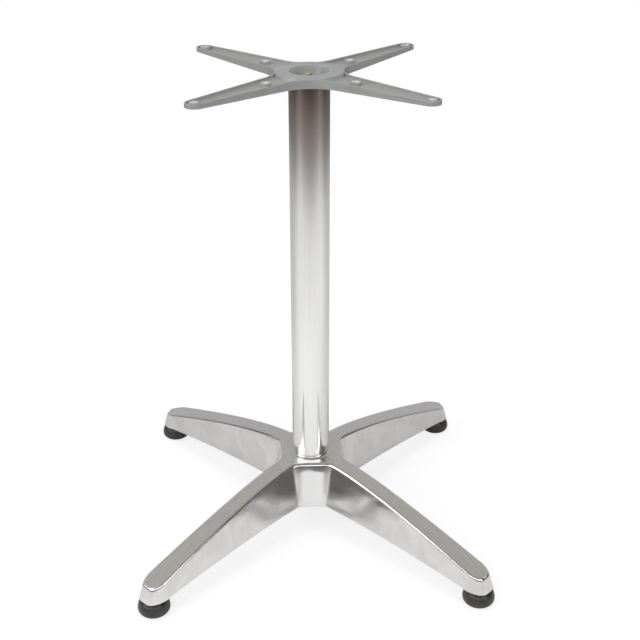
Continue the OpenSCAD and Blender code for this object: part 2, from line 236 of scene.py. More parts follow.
def leg_half():
    """Half a leg: half of the flat wall at the hub, the fillet, the long side, the rounded end."""
    fillet_centre = (FILLET_S, FILLET_W)
    panel_end = arc_station(fillet_centre, -LEG_FILLET_R, HALF_TURN)
    shares = [k / PANEL_STEPS for k in range(PANEL_STEPS)]
    stations = line_stations((GAP_S, GAP_S), panel_end, panel_end[2:], shares)
    stations += [arc_station(fillet_centre, -LEG_FILLET_R, HALF_TURN * (1 + k / FILLET_STEPS))
                 for k in range(FILLET_STEPS)]
    for k in range(SIDE_STEPS + 1):
        s = FILLET_S + (ROUND_S - LIP_DEPTH - FILLET_S) * k / SIDE_STEPS
        slope = (LEG_END_W - LEG_WAIST_W) * leg_share(s) / (LEG_REACH - FILLET_S)
        long = math.hypot(1, slope)
        stations.append((s, leg_width(s), -slope / long, 1 / long))
    corner_w = leg_width(ROUND_S) - LEG_FLAT_W / 2
    for a in quarter_turn(ROUND_STEPS):
        facing = corner_w * math.sin(a), LEG_ROUND_L * math.cos(a)
        long = math.hypot(*facing)
        stations.append((ROUND_S + LEG_ROUND_L * math.sin(a), LEG_FLAT_W / 2 + corner_w * math.cos(a),
                         facing[0] / long, facing[1] / long))
    return stations


def leg_end():
    return [(LEG_REACH, LEG_FLAT_W * (j / ACROSS - 0.5), 1, 0) for j in range(1, ACROSS)]


print(f"stations on half a leg: {len(leg_half())}")

# %% [markdown]
# ## A cross from rings
# A ring runs once round the whole cross, at a given step out from the plan and a given height.
# Rings stacked over the edge, down the wall and back up inside make a shell. A few helpers place
# such a ring: one mirrors the half leg, one steps out from a station, one turns it to its leg.


# %% Places on the cross
def full_turn(half, end):
    mirrored = [(s, -w, ns, -nw) for s, w, ns, nw in half]
    return mirrored + end + half[:0:-1]


def stepped_out(station, step):
    """The place (along, across) that lies this far out from a station."""
    s, w, ns, nw = station
    return s + step * ns, w + step * nw


def on_leg(turn, along, over, z):
    return (along * math.cos(turn) - over * math.sin(turn),
            along * math.sin(turn) + over * math.cos(turn), z)


def bridge(before, after):
    """Quads between two circles with the same number of points."""
    count = len(before)
    return [(before[k], before[(k + 1) % count], after[(k + 1) % count], after[k]) for k in range(count)]


print("cross helpers ready")

# %% [markdown]
# ### The sheets that close it
# Two sheets close the shell: the outer one on top and the inner one below. Their lines run
# straight across each leg. Near the middle they bow out until they make a circle, so that the
# hub can be turned like a lathe part with no seam. A flat cap would show a crease there.

# %% Sheet over the cross
BOW_FADE = 1.6


def sheet_line(s, w, start_r):
    """The inner places of one line across a leg: an arc at the hub, nearly straight far out."""
    first_s = start_r * math.cos(HALF_TURN)
    bow = (start_r - first_s) * math.exp((first_s - s) / (BOW_FADE * (start_r - first_s)))
    line = []
    for j in range(1, ACROSS):
        a = HALF_TURN * (2 * j / ACROSS - 1)
        along = s + bow * (math.cos(a) - math.cos(HALF_TURN)) / (1 - math.cos(HALF_TURN))
        line.append((along, w * math.sin(a) / math.sin(HALF_TURN)))
    return line


def add_sheet(points, faces, first, half, per_leg, ring, height):
    """Spans the ring that starts at point number first; returns the circle that faces the hub."""
    around = per_leg * len(LEG_TURNS)
    last = len(half) - 1
    start_r = math.hypot(*points[first][:2])
    circle = []
    for leg, turn in enumerate(LEG_TURNS):
        base = first + leg * per_leg
        lines = []
        for i in range(last):
            line = [base + i]
            for along, over in sheet_line(*stepped_out(half[i], ring(i, half[i])[0]), start_r):
                line.append(len(points))
                points.append(on_leg(turn, along, over, height(math.hypot(along, over))))
            line.append(first + ((leg + 1) * per_leg - i) % around)
            lines.append(line)
        lines.append([base + last + j for j in range(ACROSS + 1)])
        for near, far in zip(lines, lines[1:]):
            faces.extend((near[j], near[j + 1], far[j + 1], far[j]) for j in range(ACROSS))
        circle.extend(lines[0][:-1])
    return circle


print("lines across each leg bow out to a circle at the hub")

# %% [markdown]
# ### Rings, sheets and hub together
# The last helper stacks the rings, closes them with the two sheets and joins the sheets' circles
# by the hub's own turned profile. The foot and the spider are both made by it.


# %% Build a cross
def cross_piece(name, half, end, rings, outer_z, hub_profile, inner_z):
    """rings give (step out, height) for a station; hub_profile joins the two sheets' circles."""
    stations = full_turn(half, end)
    around = len(stations) * len(LEG_TURNS)
    points = []
    for ring in rings:
        for turn in LEG_TURNS:
            for index, station in enumerate(stations):
                step, z = ring(index, station)
                points.append(on_leg(turn, *stepped_out(station, step), z))
    faces = ring_faces(len(rings), around, False)
    circle = add_sheet(points, faces, 0, half, len(stations), rings[0], outer_z)
    inner = add_sheet(points, faces, (len(rings) - 1) * around, half, len(stations), rings[-1], inner_z)
    start = math.atan2(points[circle[0]][1], points[circle[0]][0])
    for r, z in hub_profile:
        following = list(range(len(points), len(points) + len(circle)))
        points.extend(turned_points([(r, z)], (0, 0), len(circle), start))
        faces.extend(bridge(circle, following))
        circle = following
    faces.extend(bridge(circle, inner))
    return make_object(name, points, faces, CAST_CREASE)


print("ready to build crosses")


# %% [markdown]
# ## The cast foot
# The real foot is one aluminium casting, open below, about 4 mm thick. Its top faces are
# brushed, its sides are polished, and a belt has rounded the edge between them. The rings below
# follow that: eight over the edge, a drafted wall, a rounded rim and the rough inside.

# %% Rings of the foot
EDGE_DROP = 2.4 * MM
EDGE_R = 5 * MM
CAST_TOP = 4.5 * MM
CAST_WALL = 3.6 * MM
RIM_R = 0.8 * MM
SIDE_DRAFT = 11
END_DRAFT = 19
EDGE_STEPS = 8
WALL_STEPS = 5
RIM_STEPS = 3
FIRST_ROUND = PANEL_STEPS + FILLET_STEPS + SIDE_STEPS + 1
foot_half = leg_half()
foot_stations = full_turn(foot_half, leg_end())


def draft_of(station):
    draft = SIDE_DRAFT
    if station[0] > ROUND_S:
        draft += (END_DRAFT - SIDE_DRAFT) * station[2] ** 2
    return math.radians(draft)


def wall_step(station, drop):
    """How far out the wall stands, this far below the place where its draft starts."""
    return math.tan(draft_of(station)) * drop


def low_edge(index):
    s, w = foot_stations[index][:2]
    in_lip = FIRST_ROUND <= index <= len(foot_stations) - FIRST_ROUND
    return leg_low(math.hypot(s, w)) - (LIP_DEPTH if in_lip else 0)


def edge_ring(share):
    """An arc that leaves the top face level and runs into the drafted wall without a crease."""
    def place(index, station):
        draft = draft_of(station)
        a = share * (math.pi / 2 - draft)
        centre = ((EDGE_R - EDGE_DROP) * math.sin(draft) - EDGE_R) / math.cos(draft)
        step = centre + EDGE_R * math.sin(a)
        return step, leg_top(math.hypot(*stepped_out(station, step))) - EDGE_R * (1 - math.cos(a))

    return place


def wall_ring(share, inset=0.0, lift=0.0):
    def place(index, station):
        top = leg_top(math.hypot(*station[:2]))
        high = top - EDGE_R * (1 - math.sin(draft_of(station)))
        z = high + (low_edge(index) + lift - high) * share
        return wall_step(station, top - EDGE_DROP - z) - inset, z

    return place


def roof_ring(index, station):
    z = leg_top(math.hypot(*station[:2])) - CAST_TOP
    return wall_step(station, CAST_TOP - EDGE_DROP) - CAST_WALL, z


foot_rings = [edge_ring(k / EDGE_STEPS) for k in range(EDGE_STEPS + 1)]
foot_rings += [wall_ring(k / WALL_STEPS, 0, RIM_R) for k in range(1, WALL_STEPS + 1)]
foot_rings += [wall_ring(1, RIM_R * (1 - math.cos(a)), RIM_R * (1 - math.sin(a)))
               for a in quarter_turn(RIM_STEPS)[1:]]
foot_rings += [wall_ring(1, CAST_WALL), roof_ring]
print(f"rings: {len(foot_rings)}, points on each: {len(LEG_TURNS) * len(foot_stations)}")

# %% [markdown]
# ## The hub of the foot
# At the hub the top face sweeps up against the column in a small cove. Inside it lie the socket
# that the column stands in, the hole for the tie rod and the boss that its lower nut pulls on.
# All of it is one turned profile, from the top sheet's circle round to the roof's.

# %% Profile of the hub, and the foot itself
COVE_R = 4 * MM
COVE_STEPS = 10
HUB_RINGS_R = (39 * MM, 36 * MM)
HUB_BOSS_R = 22 * MM
HUB_BOSS_Z = SOCKET_Z - 18 * MM
ROD_HOLE_R = 5.1 * MM
CUP_R = COLUMN_R + CAST_WALL

hub_profile = [(r, leg_top(r)) for r in HUB_RINGS_R]
for a in quarter_turn(COVE_STEPS):
    r = COLUMN_R + COVE_R - (COVE_R - SEAT_GAP) * math.sin(a)
    hub_profile.append((r, leg_top(r) + COVE_R * (1 - math.cos(a))))
hub_profile += [
    (COLUMN_R + SEAT_GAP, SOCKET_Z), (ROD_HOLE_R, SOCKET_Z), (ROD_HOLE_R, HUB_BOSS_Z),
    (HUB_BOSS_R - MM, HUB_BOSS_Z), (HUB_BOSS_R, HUB_BOSS_Z + MM), (HUB_BOSS_R, SOCKET_Z - CAST_TOP),
    (CUP_R, SOCKET_Z - CAST_TOP), (CUP_R, leg_top(CUP_R) - CAST_TOP),
]
foot = cross_piece("polished_cross_foot", foot_half, leg_end(), foot_rings, leg_top, hub_profile,
                   lambda r: leg_top(r) - CAST_TOP)
print("foot:", triangle_total(foot), "triangles")

# %% [markdown]
# ## Bosses under the ends of the legs
# Each levelling glide screws into a boss in its leg. The boss is turned with its blind hole
# already in it, and a boolean union fuses it to the shell, as if it had been cast with it.

# %% Glide bosses
GLIDE_R = 331 * MM
STUD_R = 4 * MM
THREAD_GAP = 0.05 * MM
GLIDE_SEAT_Z = leg_low(LEG_REACH) - LIP_DEPTH
BOSS_R = 10 * MM
BOSS_SEGMENTS = 48
STUD_L = 18 * MM


def glide_centre(corner):
    return polar(GLIDE_R, LEG_TURNS[CORNERS[corner]])


def join_with(target, tools, operation):
    """Booleans the tools into the target, and removes them."""
    for tool in tools:
        change = target.modifiers.new(tool.name, "BOOLEAN")
        change.operation = operation
        change.object = tool
        change.solver = "EXACT"
        change.material_mode = "TRANSFER"
    graph = bpy.context.evaluated_depsgraph_get()
    mesh = bpy.data.meshes.new_from_object(target.evaluated_get(graph))
    target.modifiers.clear()
    old = target.data
    target.data = mesh
    bpy.data.meshes.remove(old)
    for tool in tools:
        bpy.data.objects.remove(tool)


bore_r = STUD_R + THREAD_GAP
bore_top = GLIDE_SEAT_Z + STUD_L + MM
boss_top = leg_top(GLIDE_R) - CAST_TOP / 2
boss_profile = [
    (0, bore_top), (bore_r, bore_top), (bore_r, GLIDE_SEAT_Z + CHAMFER), (bore_r + CHAMFER, GLIDE_SEAT_Z),
    (BOSS_R - CHAMFER, GLIDE_SEAT_Z), (BOSS_R, GLIDE_SEAT_Z + CHAMFER), (BOSS_R, boss_top), (0, boss_top),
]
bosses = [turn_piece(f"boss_{corner}", boss_profile, glide_centre(corner), BOSS_SEGMENTS)
          for corner in CORNERS]
join_with(foot, bosses, "UNION")
foot.data.set_sharp_from_angle(angle=math.radians(CAST_CREASE))
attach(foot, "pedestal")
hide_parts("base_casting")
print("foot with its bosses:", triangle_total(foot), "triangles")

# %% [markdown]
# ## The column
# A drawn and polished tube. Its outline is a plain circle, but its reflections are long lines,
# and a tube with too few sides shows each side as a stripe. So it has 256, with broken edges.

# %% Column tube
COLUMN_SEGMENTS = 256
tube_inner = COLUMN_R - COLUMN_WALL
tube_profile = [
    (COLUMN_R, tube_low.z + CHAMFER), (COLUMN_R, tube_high.z - CHAMFER),
    (COLUMN_R - CHAMFER, tube_high.z), (tube_inner + CHAMFER, tube_high.z),
    (tube_inner, tube_high.z - CHAMFER), (tube_inner, tube_low.z + CHAMFER),
    (tube_inner + CHAMFER, tube_low.z), (COLUMN_R - CHAMFER, tube_low.z),
]
column = turn_piece("polished_column", tube_profile, segments=COLUMN_SEGMENTS, smooth_angle=30)
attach(column, "pedestal")
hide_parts("column_tube")
print("column:", triangle_total(column), "triangles")

# %% [markdown]
# ## The painted spider
# The spider is a flat cross with a rim round a shallow channel, so the same cross helper makes
# it. Its plan has straight tapering arms with round ends, and an arc from each arm to the next
# that just touches the hub. The taper follows from the widths at both ends, and the arc's radius
# from the taper, so that no edge has a kink where two of them meet.

# %% Plan of the spider
ARM_REACH = 219.5 * MM
ARM_END_R = 12.3 * MM
ARM_ROOT_W = 42.4 * MM
SPIDER_HUB_R = 47.5 * MM
ARM_END_S = ARM_REACH - ARM_END_R
root_half = ARM_ROOT_W / 2
ARM_TAPER = (math.acos(ARM_END_R / math.hypot(ARM_END_S - SPIDER_HUB_R, root_half))
             - math.atan2(ARM_END_S - SPIDER_HUB_R, root_half))
taper_share = math.cos(HALF_TURN) * (math.sin(ARM_TAPER) + math.cos(ARM_TAPER))
root_step = SPIDER_HUB_R * math.sin(ARM_TAPER) + root_half * math.cos(ARM_TAPER)
GAP_ARC_R = (SPIDER_HUB_R * taper_share - root_step) / (1 - taper_share)
GAP_ARC_S = (SPIDER_HUB_R + GAP_ARC_R) * math.cos(HALF_TURN)
STRAIGHT_STEPS = 14
END_SPAN = math.radians(30)


def arm_half():
    """From the middle of the gap, round the arc, along the straight edge and round the end."""
    end_turn = math.pi / 2 - ARM_TAPER
    gap_centre, end_centre = (GAP_ARC_S, GAP_ARC_S), (ARM_END_S, 0)
    stations = [arc_station(gap_centre, -GAP_ARC_R, HALF_TURN + (end_turn - HALF_TURN) * k / ROUND_STEPS)
                for k in range(ROUND_STEPS + 1)]
    straight_end = arc_station(end_centre, ARM_END_R, end_turn)
    shares = [k / STRAIGHT_STEPS for k in range(1, STRAIGHT_STEPS)]
    stations += line_stations(stations[-1], straight_end, straight_end[2:], shares)
    stations += [arc_station(end_centre, ARM_END_R, end_turn + (END_SPAN - end_turn) * k / ROUND_STEPS)
                 for k in range(ROUND_STEPS + 1)]
    return stations


def arm_end():
    turns = [END_SPAN * (2 * j / ACROSS - 1) for j in range(1, ACROSS)]
    return [arc_station((ARM_END_S, 0), ARM_END_R, turn) for turn in turns]


print(f"arm taper {math.degrees(ARM_TAPER):.2f} degrees, gap arc radius {GAP_ARC_R / MM:.1f} mm")

# %% [markdown]
# ## Rims and channels
# Powder paint softens every edge of the casting. So the rim's section is four small quarter arcs:
# out of the channel, over the inner edge, over the outer edge and in under the plate. Below, the
# plate gets thinner towards the ends of the arms, as castings do where they carry less.

# %% Rings of the spider
HUB_STEP = 0.8 * MM
ARM_TOP_Z = OVERALL_H - HUB_STEP
CHANNEL_DEPTH = 4.2 * MM
ARM_END_T = 6 * MM
RIM_W = 2.4 * MM
FILLET_R = 1.2 * MM
PAINT_R = 0.6 * MM
PAINT_STEPS = 4
SHEET_R = 38 * MM
FLOOR_Z = ARM_TOP_Z - CHANNEL_DEPTH


def under_z(r):
    share = (r - SPIDER_HUB_R) / (ARM_REACH - SPIDER_HUB_R)
    return SPIDER_UNDER_Z + (ARM_TOP_Z - ARM_END_T - SPIDER_UNDER_Z) * min(max(share, 0), 1)


def level_ring(step, z):
    return lambda index, station: (step, z)


def under_ring(step, lift):
    return lambda index, station: (step, under_z(math.hypot(*station[:2])) + lift)


arc = [(math.sin(a), math.cos(a)) for a in quarter_turn(PAINT_STEPS)]
spider_rings = [level_ring(FILLET_R * rise - RIM_W - FILLET_R, FLOOR_Z + FILLET_R * (1 - run))
                for rise, run in arc]
spider_rings += [level_ring(PAINT_R * (1 - run) - RIM_W, ARM_TOP_Z - PAINT_R * (1 - rise))
                 for rise, run in arc]
spider_rings += [level_ring(-PAINT_R * (1 - rise), ARM_TOP_Z - PAINT_R * (1 - run)) for rise, run in arc]
spider_rings += [under_ring(-PAINT_R * (1 - run), PAINT_R * (1 - rise)) for rise, run in arc]
spider = cross_piece("painted_spider", arm_half(), arm_end(), spider_rings, lambda r: FLOOR_Z,
                     [(SHEET_R, FLOOR_Z), (SHEET_R, SPIDER_UNDER_Z)], under_z)
print("spider plate:", triangle_total(spider), "triangles")

# %% [markdown]
# ## One material for each finish
# Every finish gets an empty material by its name here, and its nodes further down. Two of them are
# needed already in the next steps: a boolean can hand the material of its cutting tool on to the
# faces that it cuts, and that is the easiest way to have bare metal just where a drill has been.

# %% Materials by name
MATERIAL_NAMES = (
    "cast_aluminium", "tube_aluminium", "grey_paint", "bare_metal", "yellow_zinc", "bright_zinc",
    "black_glide", "studio_floor")
materials = {name: bpy.data.materials.new(name) for name in MATERIAL_NAMES}
for material in materials.values():
    material.use_nodes = True
    material.node_tree.nodes.clear()
print("materials:", ", ".join(materials))

# %% [markdown]
# ## Hub and bowl of the spider
# In the middle sits a turned hub with a bowl for the nut, and a spigot under it that stands in the
# column. Its foot spreads a little on the channels' floor. In the gaps between the arms there is
# no floor to spread on, so there the points are drawn back behind the rim.

# %% Hub of the spider
HUB_SEGMENTS = 128
HUB_FOOT_W = 2.5 * MM
HUB_FOOT_SINK = 0.02 * MM
BOWL_R = 27.3 * MM
BOWL_FLOOR_R = 20 * MM
BOWL_FLOOR_Z = OVERALL_H - 15.5 * MM
BOWL_UNDER_Z = BOWL_FLOOR_Z - 5 * MM
BOWL_LIP_W, BOWL_LIP_DROP = 0.6 * MM, 0.5 * MM
CREST_W, CREST_DROP = 0.2 * MM, 0.15 * MM
OVERLAP = 0.03 * MM
SPIGOT_R = tube_inner - SEAT_GAP
GAP_CENTRE_R = SPIDER_HUB_R + GAP_ARC_R
hub_edge = SPIDER_HUB_R - OVERLAP

hub = turn_piece("hub", [
    (ROD_HOLE_R, BOWL_UNDER_Z), (ROD_HOLE_R, BOWL_FLOOR_Z), (BOWL_FLOOR_R, BOWL_FLOOR_Z),
    (BOWL_R, OVERALL_H - BOWL_LIP_DROP), (BOWL_R + BOWL_LIP_W, OVERALL_H), (hub_edge - PAINT_R, OVERALL_H),
    (hub_edge - CREST_W, OVERALL_H - CREST_DROP), (hub_edge, ARM_TOP_Z),
    (SPIDER_HUB_R + HUB_FOOT_W, FLOOR_Z - HUB_FOOT_SINK), (hub_edge, FLOOR_Z - MM),
    (hub_edge, SPIDER_UNDER_Z + OVERLAP), (SPIGOT_R, SPIDER_UNDER_Z + OVERLAP), (SPIGOT_R, BOWL_UNDER_Z),
], segments=HUB_SEGMENTS)
for corner in hub.data.vertices:
    x, y, z = corner.co
    reach = math.hypot(x, y)
    turn = (math.atan2(y, x) + HALF_TURN) % (math.pi / 2) - HALF_TURN
    across_gap = GAP_ARC_R ** 2 - (GAP_CENTRE_R * math.sin(turn)) ** 2
    if reach > SPIDER_HUB_R and across_gap > 0:
        limit = GAP_CENTRE_R * math.cos(turn) - math.sqrt(across_gap) - RIM_W / 2
        shrink = min(1, max(hub_edge, limit) / reach)
        corner.co = (x * shrink, y * shrink, z)
print("hub:", triangle_total(hub), "triangles")

# %% [markdown]
# ## Screw bosses and holes
# Each arm has two bosses with countersunk holes for the screws into the table top. They could be
# modelled into the plate's grid, but booleans leave that grid as it is: unions add the hub and
# the bosses, and differences drill them. The drills carry the bare metal.

# %% Screw bosses and holes of the spider
INNER_HOLE_R = 83 * MM
SCREW_R = 3 * MM
SINK_R = 5.5 * MM
SINK_DEPTH = 2.2 * MM
SCREW_BOSS_R = 7.5 * MM
SCREW_BOSS_EDGE = ((0, 0.5 * MM), (0.15 * MM, 0.2 * MM), (0.5 * MM, OVERLAP))

plug_profile = [(0, FLOOR_Z - MM), (SCREW_BOSS_R, FLOOR_Z - MM)]
plug_profile += [(SCREW_BOSS_R - inset, ARM_TOP_Z - drop) for inset, drop in SCREW_BOSS_EDGE]
plug_profile += [(0, ARM_TOP_Z - OVERLAP)]
drill_profile = [
    (0, SPIDER_UNDER_Z - MM), (SCREW_R, SPIDER_UNDER_Z - MM), (SCREW_R, ARM_TOP_Z - SINK_DEPTH),
    (SINK_R, ARM_TOP_Z - OVERLAP), (SINK_R, ARM_TOP_Z + MM), (0, ARM_TOP_Z + MM),
]
plugs = [hub]
drills = []
for number, turn in enumerate(LEG_TURNS):
    for place, r in (("inner", INNER_HOLE_R), ("end", ARM_END_S)):
        tag = f"{place}_{number}"
        plugs.append(turn_piece(f"screw_boss_{tag}", plug_profile, polar(r, turn), BOSS_SEGMENTS))
        drills.append(turn_piece(f"drill_{tag}", drill_profile, polar(r, turn), BOSS_SEGMENTS))
for drill in drills:
    drill.data.materials.append(materials["bare_metal"])
for solid in [spider] + plugs:
    solid.data.materials.append(materials["grey_paint"])
join_with(spider, plugs, "UNION")
join_with(spider, drills, "DIFFERENCE")
spider.data.set_sharp_from_angle(angle=math.radians(CAST_CREASE))
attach(spider, "pedestal")
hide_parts("top_spider")
print("spider:", triangle_total(spider), "triangles")
print("its materials:", [material.name for material in spider.data.materials])

# %% [markdown]
# ## Threads
# A thread is a helix: as the angle goes round once, the groove climbs one pitch. On a grid of
# rings, each point's radius follows that rule, and smooth shading does the rest. The shank
# between the two threaded ends of the tie rod stays plain.

# %% Threaded rods
STEPS_PER_PITCH = 8
THREAD_DEPTH = 0.6
THREAD_END = 0.3
ROD_CHAMFER = 0.8 * MM


def thread_levels(low, high, pitch):
    total = max(2, round((high - low) / pitch * STEPS_PER_PITCH))
    return [low + (high - low) * k / total for k in range(total + 1)]


def groove_depth(z, pitch, stretches):
    """Nought on the plain shank, and less than the full depth at the ends of a thread."""
    for low, high in stretches:
        if low <= z <= high:
            return THREAD_DEPTH * pitch * min(1, (z - low) / pitch, (high - z) / pitch + THREAD_END)
    return 0.0


def threaded_rod(name, radius, pitch, stretches, ends, centre=(0, 0), segments=36):
    """stretches are (low, high) of each thread. Outside them the shank is plain."""
    low, high = ends
    levels = {low, low + ROD_CHAMFER, high - ROD_CHAMFER, high}
    levels = sorted(levels.union(*(thread_levels(a, b, pitch) for a, b in stretches)))
    points = [(*centre, low)]
    for z in levels:
        depth = groove_depth(z, pitch, stretches)
        limit = radius - max(0, ROD_CHAMFER - (z - low), ROD_CHAMFER - (high - z))
        for k in range(segments):
            wave = (z / pitch - k / segments) % 1
            r = min(radius - depth * (1 - abs(2 * wave - 1)), limit)
            a = 2 * math.pi * k / segments
            points.append((centre[0] + r * math.cos(a), centre[1] + r * math.sin(a), z))
    top = len(points)
    points.append((*centre, high))
    faces = [tuple(1 + n for n in face) for face in ring_faces(len(levels), segments, False)]
    final = top - segments
    for k in range(segments):
        after = (k + 1) % segments
        faces.append((0, 1 + after, 1 + k))
        faces.append((top, final + k, final + after))
    return make_object(name, points, faces, smooth_angle=50)


print("thread depth:", THREAD_DEPTH, "of the pitch")

# %% [markdown]
# ## The tie rod
# One long rod runs through the column and pulls the spider and the foot together. Only its ends
# are threaded, because only they carry a nut.

# %% Tie rod
ROD_R = (rod_high.x - rod_low.x) / 2
ROD_PITCH = 1.5 * MM
THREADED_L = 30 * MM
rod_threads = [(rod_low.z, rod_low.z + THREADED_L), (rod_high.z - THREADED_L, rod_high.z)]
rod = threaded_rod("threaded_tie_rod", ROD_R, ROD_PITCH, rod_threads, (rod_low.z, rod_high.z))
rod.data.materials.append(materials["yellow_zinc"])
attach(rod, "pedestal")
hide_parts("tie_rod")
print("tie rod:", triangle_total(rod), "triangles")

# %% [markdown]
# ## Levelling glides
# Each glide is a black moulded bun on a smaller foot, with a steel stud in it. The pad's sides
# are two quarter ellipses, fine enough to stay round in a close view, with a flat top round the stud.

# %% Pads and studs
PAD_R = 23.4 * MM
PAD_FOOT_R = 13.5 * MM
PAD_FOOT_RIM = 4 * MM
PAD_BELLY_H = 9 * MM
PAD_TOP_R = 12 * MM
PAD_STEPS = 16
STOP_GAP = 0.3 * MM
PAD_H = GLIDE_SEAT_Z - STOP_GAP
STUD_GRIP = 12 * MM
STUD_PITCH = 1.25 * MM


def pad_profile():
    """From the axis at the floor, round the bun, to the stud's hole and down to its floor."""
    rim = PAD_FOOT_R - PAD_FOOT_RIM
    profile = [(0, CHAMFER), (rim, CHAMFER), (rim + CHAMFER, 0)]
    for a in quarter_turn(PAD_STEPS):
        profile.append((PAD_FOOT_R + (PAD_R - PAD_FOOT_R) * math.sin(a), PAD_BELLY_H * (1 - math.cos(a))))
    for a in quarter_turn(PAD_STEPS)[1:]:
        profile.append((PAD_TOP_R + (PAD_R - PAD_TOP_R) * math.cos(a),
                        PAD_BELLY_H + (PAD_H - PAD_BELLY_H) * math.sin(a)))
    return profile + [(STUD_R, PAD_H), (STUD_R, PAD_H - STUD_GRIP), (0, PAD_H - STUD_GRIP)]


for corner in CORNERS:
    body = f"{corner}_glide"
    pad = turn_piece(f"moulded_pad_{corner}", pad_profile(), glide_centre(corner), smooth_angle=50)
    pad.data.materials.append(materials["black_glide"])
    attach(pad, body)
    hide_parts(f"glide_pad_{corner}")
    stud_low, stud_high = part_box(f"glide_stud_{corner}")
    stud = threaded_rod(f"threaded_stud_{corner}", STUD_R, STUD_PITCH, [(PAD_H, stud_high.z)],
                        (stud_low.z, stud_high.z), glide_centre(corner), segments=32)
    stud.data.materials.append(materials["bright_zinc"])
    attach(stud, body)
    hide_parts(f"glide_stud_{corner}")
print("pad and stud:", triangle_total(pad), triangle_total(stud), "triangles")

# %% [markdown]
# ## Shader tools
# A material is a small graph of nodes. These helpers make a node and fill its inputs, where an
# input is either a number or the output of another node. Effects that several finishes share
# become node groups with named inputs, so each finish can use them with its own values.


# %% Node helpers
FLOAT = "NodeSocketFloat"
COLOR = "NodeSocketColor"


def fill_inputs(tree, node, inputs):
    for key, value in inputs.items():
        if isinstance(value, bpy.types.NodeSocket):
            tree.links.new(value, node.inputs[key])
        else:
            node.inputs[key].default_value = value


def add_node(tree, kind, inputs=None, **settings):
    node = tree.nodes.new(kind)
    for key, value in settings.items():
        setattr(node, key, value)
    fill_inputs(tree, node, inputs or {})
    return node


def maths(tree, operation, *values):
    return add_node(tree, "ShaderNodeMath", dict(enumerate(values)), operation=operation).outputs[0]


def vectors(tree, operation, *values, output="Vector"):
    inputs = dict(enumerate(values))
    return add_node(tree, "ShaderNodeVectorMath", inputs, operation=operation).outputs[output]


def remap(tree, value, low, high, to_low=0.0, to_high=1.0):
    spans = {"Value": value, "From Min": low, "From Max": high, "To Min": to_low, "To Max": to_high}
    return add_node(tree, "ShaderNodeMapRange", spans, interpolation_type="SMOOTHSTEP").outputs[0]


def mix_colors(tree, factor, first, second):
    inputs = {"Factor": factor, "A": first, "B": second}
    return add_node(tree, "ShaderNodeMix", inputs, data_type="RGBA").outputs[2]


def mix_shaders(tree, factor, first, second):
    return add_node(tree, "ShaderNodeMixShader", {0: factor, 1: first, 2: second}).outputs[0]


def split(tree, vector):
    return add_node(tree, "ShaderNodeSeparateXYZ", {"Vector": vector}).outputs


def object_place(tree):
    return add_node(tree, "ShaderNodeTexCoord").outputs["Object"]


def axis_distance(tree, place):
    """How far a place lies from the upright axis of the column."""
    return vectors(tree, "LENGTH", vectors(tree, "MULTIPLY", place, (1, 1, 0)), output="Value")


def bump(tree, height, strength, distance, **more):
    inputs = {"Height": height, "Strength": strength, "Distance": distance, **more}
    return add_node(tree, "ShaderNodeBump", inputs).outputs[0]


def color_ramp(tree, value, stops):
    node = add_node(tree, "ShaderNodeValToRGB", {"Fac": value})
    elements = node.color_ramp.elements
    for element, (position, rgb) in zip(elements, (stops[0], stops[-1])):
        element.position = position
        element.color = (*rgb, 1)
    for position, rgb in stops[1:-1]:
        elements.new(position).color = (*rgb, 1)
    return node.outputs["Color"]


def noise(tree, place, scale, detail=2.0, distortion=0.0):
    inputs = {"Vector": place, "Scale": scale, "Detail": detail, "Distortion": distortion}
    return add_node(tree, "ShaderNodeTexNoise", inputs).outputs["Fac"]


print("node helpers ready")

# %% [markdown]
# ### Groups and materials
# A group is a graph with its own inputs and outputs. One helper makes an empty group, one puts a
# group to use, and one ends a finish with the shader that all of them share.


# %% Group and material helpers
def new_group(name, inputs, outputs):
    group = bpy.data.node_groups.new(name, "ShaderNodeTree")
    for socket_name, kind, value in inputs:
        group.interface.new_socket(socket_name, in_out="INPUT", socket_type=kind).default_value = value
    for socket_name, kind in outputs:
        group.interface.new_socket(socket_name, in_out="OUTPUT", socket_type=kind)
    return group, group.nodes.new("NodeGroupInput").outputs, group.nodes.new("NodeGroupOutput").inputs


def use_group(tree, group, inputs):
    node = tree.nodes.new("ShaderNodeGroup")
    node.node_tree = group
    fill_inputs(tree, node, inputs)
    return node.outputs


def finish_material(name, shader_inputs):
    tree = materials[name].node_tree
    shader = add_node(tree, "ShaderNodeBsdfPrincipled", shader_inputs)
    output = tree.nodes.new("ShaderNodeOutputMaterial")
    tree.links.new(shader.outputs["BSDF"], output.inputs["Surface"])
    print("finished material:", name)


print("group helpers ready")

# %% [markdown]
# ### Brushed grain
# A belt leaves fine lines along each leg. Object coordinates are turned by half a right angle,
# so that one axis runs along two of the legs and the other along the other two. The larger of
# the two distances is the place along a leg, the smaller is the place across it. Noise that is
# stretched along the leg then gives the lines, and a slant lets them cross the leg a little, as
# the belt did.

